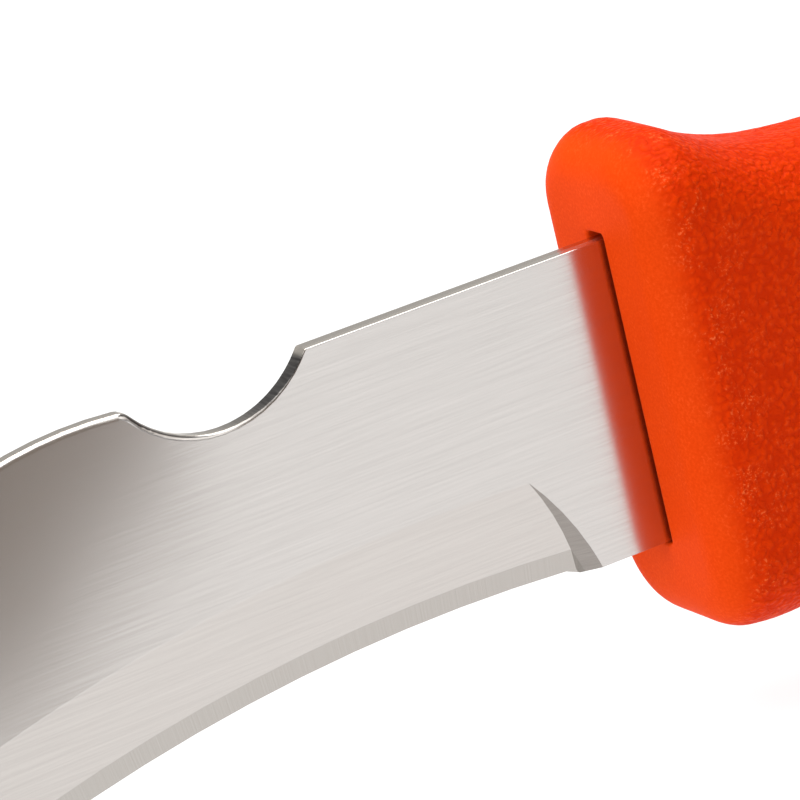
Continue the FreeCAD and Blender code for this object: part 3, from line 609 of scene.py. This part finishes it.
def raise_folds(mesh):
    """Raises the folds on the skin, fading out towards the smooth front face. The skin's faces still point
    inwards, so outwards is against their normals."""
    noise.seed_set(FOLD_SEED)
    heights = []
    for vertex in mesh.vertices:
        behind = (vertex.co.x - FRONT - GRAIN_START) / (GRAIN_FULL - GRAIN_START)
        share = max(0.0, min(1.0, behind))
        heights.append(0.0 if share == 0.0 or in_slot(vertex.co) else share * fold_height(vertex.co))
    moved = [vertex.co - vertex.normal * (height * FOLD_HEIGHT)
             for vertex, height in zip(mesh.vertices, heights)]
    mesh.vertices.foreach_set("co", np.array(moved).ravel())
    mesh.update()


def cut_seats(skin):
    """Cuts the round seats of the rivet heads and washers out of the skin, which also turns its faces
    outwards."""
    cutters = bmesh.new()
    for centre, radius, face, side in fittings():
        depth = FAR / 4
        middle = Vector((centre.x, side * (face + depth / 2), centre.z))
        turned = Matrix.Translation(middle) @ Matrix.Rotation(math.pi / 2, 4, "X")
        bmesh.ops.create_cone(cutters, cap_ends=True, segments=SEAT_SEGMENTS, radius1=radius + SEAT_GAP,
                              radius2=radius + SEAT_GAP, depth=depth, matrix=turned)
    mesh = bpy.data.meshes.new("seat_cutters")
    cutters.to_mesh(mesh)
    cutters.free()
    tool = bpy.data.objects.new("seat_cutters", mesh)
    bpy.context.scene.collection.objects.link(tool)
    cut = skin.modifiers.new("seats", "BOOLEAN")
    cut.operation = "DIFFERENCE"
    cut.solver = "EXACT"
    cut.object = tool
    bpy.context.view_layer.update()
    graph = bpy.context.evaluated_depsgraph_get()
    done = bpy.data.meshes.new_from_object(skin.evaluated_get(graph), depsgraph=graph)
    skin.modifiers.clear()
    skin.data = done
    bpy.data.objects.remove(tool)


def make_handle(material):
    """The moulded handle with its folds, in place of the plain CAD handle."""
    mesh = skin_mesh(handle_rings())
    raise_folds(mesh)
    skin = bpy.data.objects.new("handle_moulding", mesh)
    bpy.context.scene.collection.objects.link(skin)
    cut_seats(skin)
    skin.data.materials.clear()
    skin.data.materials.append(material)
    skin.data.shade_smooth()
    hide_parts("handle")
    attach(skin, KNIFE)


# ---------------------------------------------------------------------------------------------------
# Studio
# ---------------------------------------------------------------------------------------------------

FLOOR_REACH = 4.0
FLOOR_DARK = (0.15, 0.15, 0.15, 1.0)
FLOOR_LIGHT = (0.18, 0.18, 0.18, 1.0)
FLOOR_GLOW = 0.92                      # keeps the paper white round the knife
FLAG_DISTANCE = 60.0 * MM              # in front of the blade's mid-plane
FLAG_RIM = ((-11.0, 124.0), (-16.5, 20.0), (-22.0, 15.5), (-28.0, 10.5), (-34.0, 4.5), (-41.0, 1.5),
            (-180.0, 1.5), (-180.0, 124.0))      # in millimetres from the handle's front and the floor
FLAG_DARK = (0.235, 0.205, 0.175, 1.0)
FLAG_LIGHT = (0.285, 0.250, 0.215, 1.0)
CARD_CORNERS = ((-0.35, -0.42, 0.16), (0.65, -0.42, 0.16), (0.65, -0.22, 0.46), (-0.35, -0.22, 0.46))
CARD_DARK = (0.70, 0.69, 0.67, 1.0)
CARD_LIGHT = (0.76, 0.75, 0.73, 1.0)
CARD_GLOW = 0.95


def make_floor():
    """A plain pale floor at the knife's lowest point."""
    mesh = bpy.data.meshes.new("floor")
    corners = [(x * FLOOR_REACH, y * FLOOR_REACH, 0.0) for x, y in ((-1, -1), (1, -1), (1, 1), (-1, 1))]
    mesh.from_pydata(corners, [], [(0, 1, 2, 3)])
    floor = bpy.data.objects.new("floor", mesh)
    bpy.context.scene.collection.objects.link(floor)
    material, tree, shader = new_material("floor_paper", Roughness=0.9, Specular_IOR_Level=0.1,
                                          Emission_Color=WHITE, Emission_Strength=FLOOR_GLOW)
    fibres = even_noise(tree, object_place(tree), 300.0)
    feed(tree, shader, Base_Color=mix_colour(tree, fibres, FLOOR_DARK, FLOOR_LIGHT))
    mesh.materials.append(material)


def area_light(name, place, size, power):
    """A square softbox at a place, turned to the middle of the picture."""
    data = bpy.data.lights.new(name, "AREA")
    data.size = size
    data.energy = power
    light = bpy.data.objects.new(name, data)
    light.location = place
    light.rotation_mode = "QUATERNION"
    light.rotation_quaternion = (AIM - Vector(place)).to_track_quat("-Z", "Y")
    bpy.context.scene.collection.objects.link(light)


def make_card(name, outline, dark, light, glow=0.0):
    """A studio card whose outline is given as points in the scene. Only reflections see it."""
    mesh = bpy.data.meshes.new(name)
    mesh.from_pydata(outline, [], [tuple(range(len(outline)))])
    card = bpy.data.objects.new(name, mesh)
    bpy.context.scene.collection.objects.link(card)
    material, tree, shader = new_material(name + "_cloth", Roughness=1.0,
                                          Emission_Color=WHITE, Emission_Strength=glow)
    weave = even_noise(tree, object_place(tree), 900.0, detail=2.0)
    feed(tree, shader, Base_Color=mix_colour(tree, weave, dark, light))
    mesh.materials.append(material)
    card.visible_camera = False
    card.visible_diffuse = False
    card.visible_shadow = False


def make_cards():
    """A dark flag beside the blade's curved end, and a white card high in front of the knife."""
    flag = [(FRONT + x * MM, -FLAG_DISTANCE, z * MM) for x, z in FLAG_RIM]
    make_card("flag", flag, FLAG_DARK, FLAG_LIGHT)
    card = [(FRONT + x, y, z) for x, y, z in CARD_CORNERS]
    make_card("front_card", card, CARD_DARK, CARD_LIGHT, CARD_GLOW)


def make_lights():
    """A large soft light overhead, a weaker one from the tip's side, and a surround that is bright behind
    the knife and dim in front of it."""
    area_light("overhead", place=(0.0, 0.1, 1.3), size=1.6, power=31.0)
    area_light("tip_side", place=(-1.1, -0.3, 0.45), size=0.7, power=6.4)
    world = bpy.data.worlds.new("surround")
    bpy.context.scene.world = world
    world.use_nodes = True
    tree = world.node_tree
    backdrop = tree.nodes["Background"]
    backdrop.inputs["Color"].default_value = WHITE
    backwards = axes_of(tree, node(tree, "TexCoord").outputs["Generated"])[1]
    tree.links.new(ramp(tree, backwards, -0.15, 0.5, 0.05, 0.5), backdrop.inputs["Strength"])


# ---------------------------------------------------------------------------------------------------
# The scene
# ---------------------------------------------------------------------------------------------------

make_camera()
finishes = dress_nodes()
make_handle(finishes["handle_plastic"])
make_floor()
make_cards()
make_lights()
bpy.context.scene.view_settings.view_transform = "Standard"
